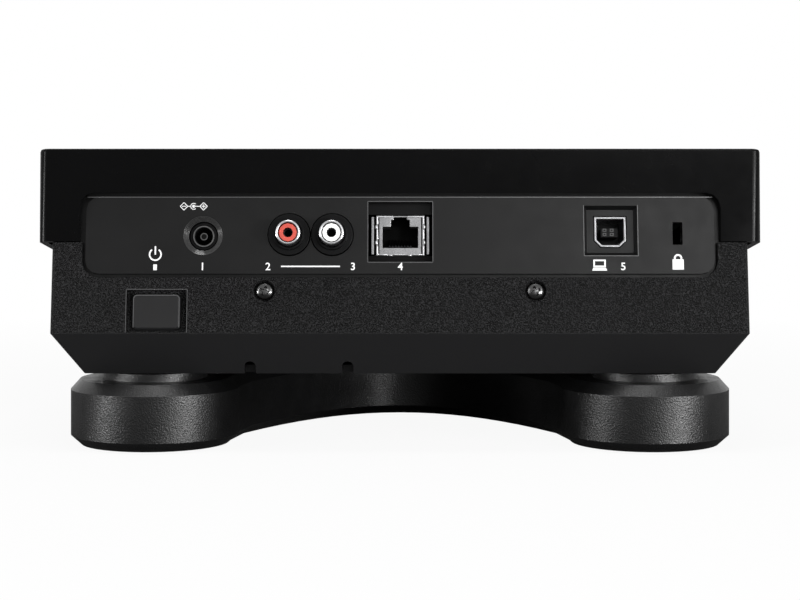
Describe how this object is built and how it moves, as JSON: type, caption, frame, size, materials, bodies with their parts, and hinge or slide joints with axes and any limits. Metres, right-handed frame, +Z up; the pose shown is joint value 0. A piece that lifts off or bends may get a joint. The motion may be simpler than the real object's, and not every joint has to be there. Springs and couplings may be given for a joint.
{
  "type": "dj controller",
  "caption": "Compact DJ deck: a leaning housing on an X-shaped stand, with a turning jog wheel, display, tempo fader, keys, rotary selector and a rear connector panel.",
  "frame": {"origin": "on the floor, under the middle of the bounding box", "axes": "+Z up, +Y towards the rear with the connectors, +X towards the user's right"},
  "size_m": [0.2396, 0.2974, 0.1004],
  "materials": {
    "gloss_housing": "satin",
    "grained_housing": "fine grain",
    "panel": "satin",
    "stand": "satin",
    "pad_rubber": "matt",
    "board": "satin",
    "black_plastic": "satin",
    "key_plastic": "satin",
    "red_plastic": "gloss",
    "white_plastic": "gloss",
    "plated_metal": "plated",
    "steel": "turned",
    "dark_metal": "satin",
    "platter": "satin",
    "display_glass": "clear"
  },
  "bodies": {
    "housing": {"top_cover": "gloss_housing", "lower_chassis": "grained_housing", "main_board": "board", "stand_frame": "stand", "foot_pad_rear_right": "pad_rubber", "foot_pad_rear_left": "pad_rubber", "foot_pad_front_left": "pad_rubber", "foot_pad_front_right": "pad_rubber", "stand_screw_rear_right": "steel", "stand_screw_rear_left": "steel", "stand_screw_front_left": "steel", "stand_screw_front_right": "steel", "rear_panel": "panel", "power_switch": "black_plastic", "power_inlet": "black_plastic", "audio_jack_block": "black_plastic", "audio_barrel_right": "plated_metal", "audio_insulator_right": "red_plastic", "audio_barrel_left": "plated_metal", "audio_insulator_left": "white_plastic", "network_jack_shell": "plated_metal", "network_jack_insert": "black_plastic", "usb_b_shell": "plated_metal", "usb_b_tongue": "black_plastic", "lock_bracket": "plated_metal", "rear_screw_right": "dark_metal", "rear_screw_left": "dark_metal", "connector_board": "board", "control_board": "board", "display_glass": "display_glass", "display_module": "dark_metal", "jog_bearing": "black_plastic", "encoder_sensor": "black_plastic", "fader_body": "dark_metal", "selector_encoder": "dark_metal", "usb_a_socket": "plated_metal"},
    "jog_wheel": {"jog_platter": "platter", "jog_top_plate": "dark_metal", "jog_shaft": "steel", "encoder_disc": "black_plastic"},
    "fader": {"fader_cap": "key_plastic"},
    "selector_push": {"selector_plunger": "white_plastic"},
    "selector_turn": {"selector_knob": "key_plastic"},
    "power": {"power_button": "key_plastic"},
    "pad_key_1": {"pad_button_1": "key_plastic"},
    "pad_key_2": {"pad_button_2": "key_plastic"},
    "pad_key_3": {"pad_button_3": "key_plastic"},
    "pad_key_4": {"pad_button_4": "key_plastic"},
    "track_back_key": {"track_back_button": "key_plastic"},
    "track_forward_key": {"track_forward_button": "key_plastic"},
    "search_back_key": {"search_back_button": "key_plastic"},
    "search_forward_key": {"search_forward_button": "key_plastic"},
    "sync_key": {"sync_button": "key_plastic"},
    "master_tempo_key": {"master_tempo_button": "key_plastic"},
    "tempo_range_key": {"tempo_range_button": "key_plastic"},
    "back_key": {"back_button": "key_plastic"},
    "menu_key": {"menu_button": "key_plastic"},
    "usb_stop_key": {"usb_stop_button": "key_plastic"},
    "cue_key": {"cue_button": "key_plastic"},
    "play_key": {"play_button": "key_plastic"}
  },
  "joints": [
    {"name": "jog_spin", "type": "hinge", "parent": "housing", "child": "jog_wheel", "pos_m": [0, -0.05245, 0.07254], "axis": [0, -0.1426, 0.9898], "continuous": true},
    {"name": "tempo_slide", "type": "slide", "parent": "housing", "child": "fader", "axis": [0, 0.9898, 0.1426], "range_m": [-0.03, 0.03]},
    {"name": "selector_press", "type": "slide", "parent": "housing", "child": "selector_push", "axis": [0, 0.1426, -0.9898], "range_m": [0, 0.0006], "stiffness_N_per_m": 900, "springref_m": -0.0005},
    {"name": "selector_spin", "type": "hinge", "parent": "selector_push", "child": "selector_turn", "pos_m": [0.097, 0.07722, 0.09123], "axis": [0, -0.1426, 0.9898], "continuous": true},
    {"name": "power_press", "type": "slide", "parent": "housing", "child": "power", "axis": [0, -0.9898, -0.1426], "range_m": [0, 0.0018], "stiffness_N_per_m": 400, "springref_m": -0.0005},
    {"name": "pad_press_1", "type": "slide", "parent": "housing", "child": "pad_key_1", "axis": [0, 0.1426, -0.9898], "range_m": [0, 0.001], "stiffness_N_per_m": 400, "springref_m": -0.0005},
    {"name": "pad_press_2", "type": "slide", "parent": "housing", "child": "pad_key_2", "axis": [0, 0.1426, -0.9898], "range_m": [0, 0.001], "stiffness_N_per_m": 400, "springref_m": -0.0005},
    {"name": "pad_press_3", "type": "slide", "parent": "housing", "child": "pad_key_3", "axis": [0, 0.1426, -0.9898], "range_m": [0, 0.001], "stiffness_N_per_m": 400, "springref_m": -0.0005},
    {"name": "pad_press_4", "type": "slide", "parent": "housing", "child": "pad_key_4", "axis": [0, 0.1426, -0.9898], "range_m": [0, 0.001], "stiffness_N_per_m": 400, "springref_m": -0.0005},
    {"name": "track_back_press", "type": "slide", "parent": "housing", "child": "track_back_key", "axis": [0, 0.1426, -0.9898], "range_m": [0, 0.001], "stiffness_N_per_m": 400, "springref_m": -0.0005},
    {"name": "track_forward_press", "type": "slide", "parent": "housing", "child": "track_forward_key", "axis": [0, 0.1426, -0.9898], "range_m": [0, 0.001], "stiffness_N_per_m": 400, "springref_m": -0.0005},
    {"name": "search_back_press", "type": "slide", "parent": "housing", "child": "search_back_key", "axis": [0, 0.1426, -0.9898], "range_m": [0, 0.001], "stiffness_N_per_m": 400, "springref_m": -0.0005},
    {"name": "search_forward_press", "type": "slide", "parent": "housing", "child": "search_forward_key", "axis": [0, 0.1426, -0.9898], "range_m": [0, 0.001], "stiffness_N_per_m": 400, "springref_m": -0.0005},
    {"name": "sync_press", "type": "slide", "parent": "housing", "child": "sync_key", "axis": [0, 0.1426, -0.9898], "range_m": [0, 0.001], "stiffness_N_per_m": 400, "springref_m": -0.0005},
    {"name": "master_tempo_press", "type": "slide", "parent": "housing", "child": "master_tempo_key", "axis": [0, 0.1426, -0.9898], "range_m": [0, 0.001], "stiffness_N_per_m": 400, "springref_m": -0.0005},
    {"name": "tempo_range_press", "type": "slide", "parent": "housing", "child": "tempo_range_key", "axis": [0, 0.1426, -0.9898], "range_m": [0, 0.001], "stiffness_N_per_m": 400, "springref_m": -0.0005},
    {"name": "back_press", "type": "slide", "parent": "housing", "child": "back_key", "axis": [0, 0.1426, -0.9898], "range_m": [0, 0.001], "stiffness_N_per_m": 400, "springref_m": -0.0005},
    {"name": "menu_press", "type": "slide", "parent": "housing", "child": "menu_key", "axis": [0, 0.1426, -0.9898], "range_m": [0, 0.001], "stiffness_N_per_m": 400, "springref_m": -0.0005},
    {"name": "usb_stop_press", "type": "slide", "parent": "housing", "child": "usb_stop_key", "axis": [0, 0.1426, -0.9898], "range_m": [0, 0.001], "stiffness_N_per_m": 400, "springref_m": -0.0005},
    {"name": "cue_press", "type": "slide", "parent": "housing", "child": "cue_key", "axis": [0, 0.1426, -0.9898], "range_m": [0, 0.001], "stiffness_N_per_m": 400, "springref_m": -0.0005},
    {"name": "play_press", "type": "slide", "parent": "housing", "child": "play_key", "axis": [0, 0.1426, -0.9898], "range_m": [0, 0.001], "stiffness_N_per_m": 400, "springref_m": -0.0005}
  ]
}
